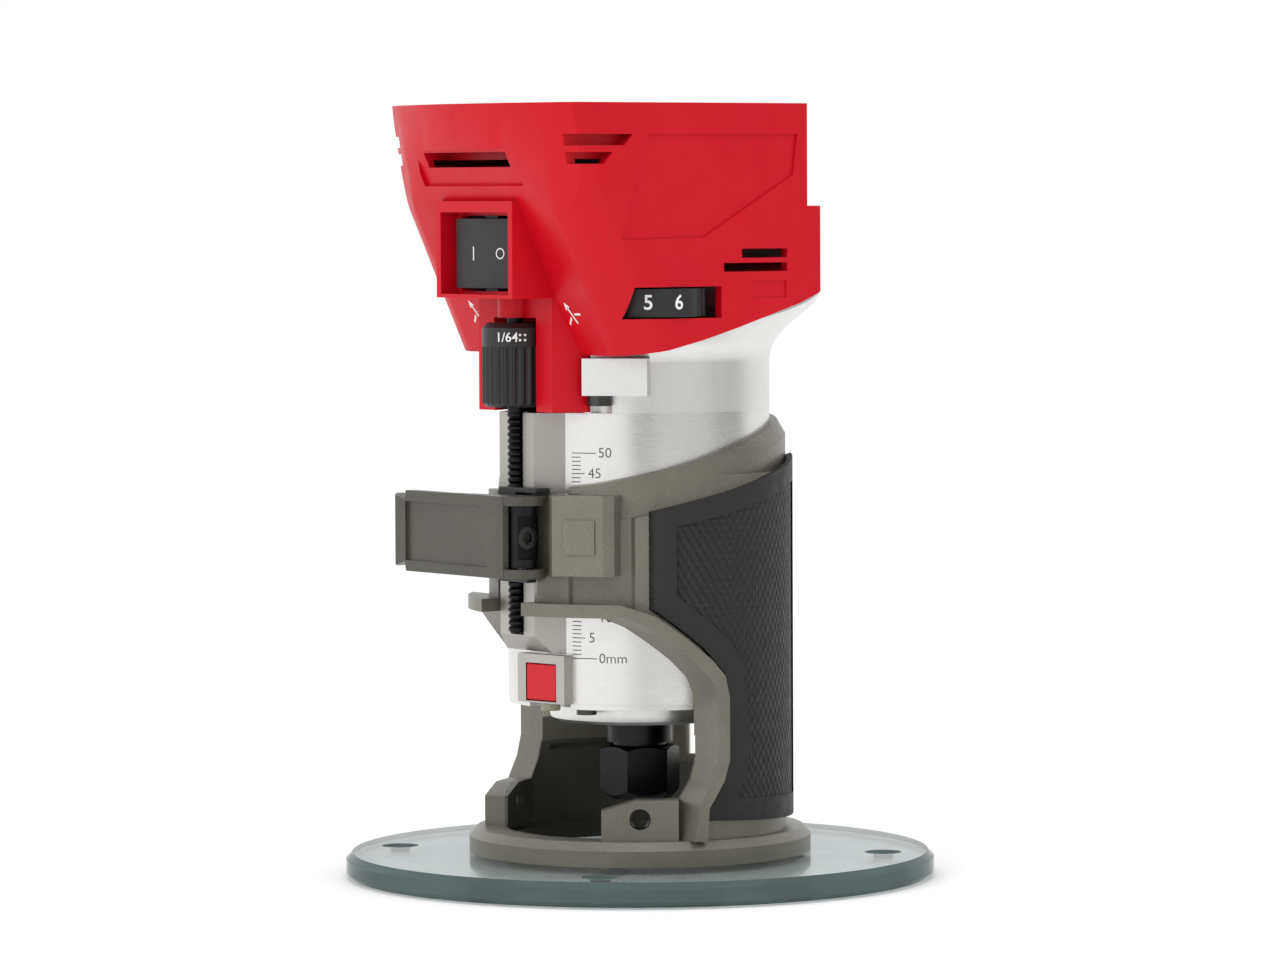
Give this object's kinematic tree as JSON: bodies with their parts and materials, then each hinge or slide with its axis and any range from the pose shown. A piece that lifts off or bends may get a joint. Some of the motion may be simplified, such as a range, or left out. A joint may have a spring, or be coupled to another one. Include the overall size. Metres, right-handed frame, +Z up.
{
  "type": "trim router",
  "caption": "Compact cordless trim router with a round clear sub-base, split clamping base, sliding motor and battery-rail head.",
  "frame": {"origin": "centre of the sub-base underside, on the spindle axis", "axes": "+Z up along the spindle, -Y the front with the switch and depth knob, +X the side with the speed dial"},
  "size_m": [0.146, 0.146, 0.1905],
  "materials": {
    "clear_plate": "clear smoky polycarbonate, polished",
    "clear_shield": "clear polycarbonate, slightly yellow",
    "painted_casting": "warm grey metallic paint, fine speckle",
    "lever_paint": "warm grey metallic paint, fine speckle",
    "grip_rubber": "fine knurl, matte",
    "barrel_metal": "brushed around the axis",
    "cast_metal": "satin cast",
    "head_plastic": "satin moulded",
    "button_plastic": "satin moulded",
    "black_plastic": "fine moulded grain",
    "knob_plastic": "ribbed, fine grain",
    "black_steel": "black oxide",
    "dark_steel": "phosphated",
    "bright_steel": "ground",
    "copper": "enamelled wire",
    "contact_brass": "tinned",
    "lens": "moulded lens"
  },
  "bodies": {
    "base": {"sub_base": "clear_plate", "sub_base_screws": "dark_steel", "base_casting": "painted_casting", "grip_left": "grip_rubber", "grip_right": "grip_rubber", "chip_shield": "clear_shield", "clamp_bolt": "dark_steel", "clamp_bolt_nut": "dark_steel", "clamp_block": "black_steel", "clamp_pin": "bright_steel", "depth_nut": "black_plastic"},
    "lever": {"clamp_lever": "lever_paint"},
    "motor": {"motor_barrel": "barrel_metal", "end_cap": "cast_metal", "end_cap_screws": "dark_steel", "led_lens": "lens", "motor_collar": "cast_metal", "collar_screws": "dark_steel", "head_shell_left": "head_plastic", "head_shell_right": "head_plastic", "head_shell_screws": "dark_steel", "terminal_block": "black_plastic", "terminal_contacts": "contact_brass", "switch_body": "black_plastic", "dial_sensor": "black_plastic", "control_module": "black_plastic", "stator_core": "bright_steel", "windings": "copper", "upper_bearing": "bright_steel", "lower_bearing": "bright_steel", "lock_spring": "bright_steel"},
    "spindle": {"rotor": "bright_steel", "fan": "black_plastic", "spindle_shaft": "black_steel", "lock_collar": "bright_steel", "collet": "bright_steel", "collet_nut": "black_steel"},
    "depth_adjuster": {"depth_screw": "black_steel", "depth_knob": "knob_plastic"},
    "rocker_switch": {"rocker": "black_plastic"},
    "dial": {"speed_dial": "black_plastic"},
    "lock": {"lock_button": "button_plastic"}
  },
  "joints": [
    {"name": "motor_slide", "type": "slide", "parent": "base", "child": "motor", "axis": [0, 0, 1], "range_m": [-0.009, 0.028]},
    {"name": "depth_screw_spin", "type": "hinge", "parent": "motor", "child": "depth_adjuster", "pos_m": [0, -0.0369, 0.1], "axis": [0, 0, 1], "range_deg": [-2060, 6400]},
    {"name": "spindle_spin", "type": "hinge", "parent": "motor", "child": "spindle", "pos_m": [0, 0, 0.05], "axis": [0, 0, 1], "continuous": true},
    {"name": "spindle_lock_press", "type": "slide", "parent": "motor", "child": "lock", "axis": [-0.1736, 0.9848, 0], "range_m": [0, 0.0025], "stiffness_N_per_m": 800, "springref_m": -0.001},
    {"name": "switch_rock", "type": "hinge", "parent": "motor", "child": "rocker_switch", "pos_m": [0, -0.0426, 0.1543], "axis": [0, 0, -1], "range_deg": [0, 18]},
    {"name": "speed_dial_turn", "type": "hinge", "parent": "motor", "child": "dial", "pos_m": [0.0246, -0.016, 0.1424], "axis": [0, 0, 1], "range_deg": [-150, 20]},
    {"name": "clamp_lever_swing", "type": "hinge", "parent": "base", "child": "lever", "pos_m": [0.0102, -0.0423, 0.0855], "axis": [0, 0, 1], "range_deg": [0, 110]}
  ],
  "couplings": [
    {"joint": "depth_screw_spin", "follows": "motor_slide", "rad_per_m": 3957.9}
  ]
}
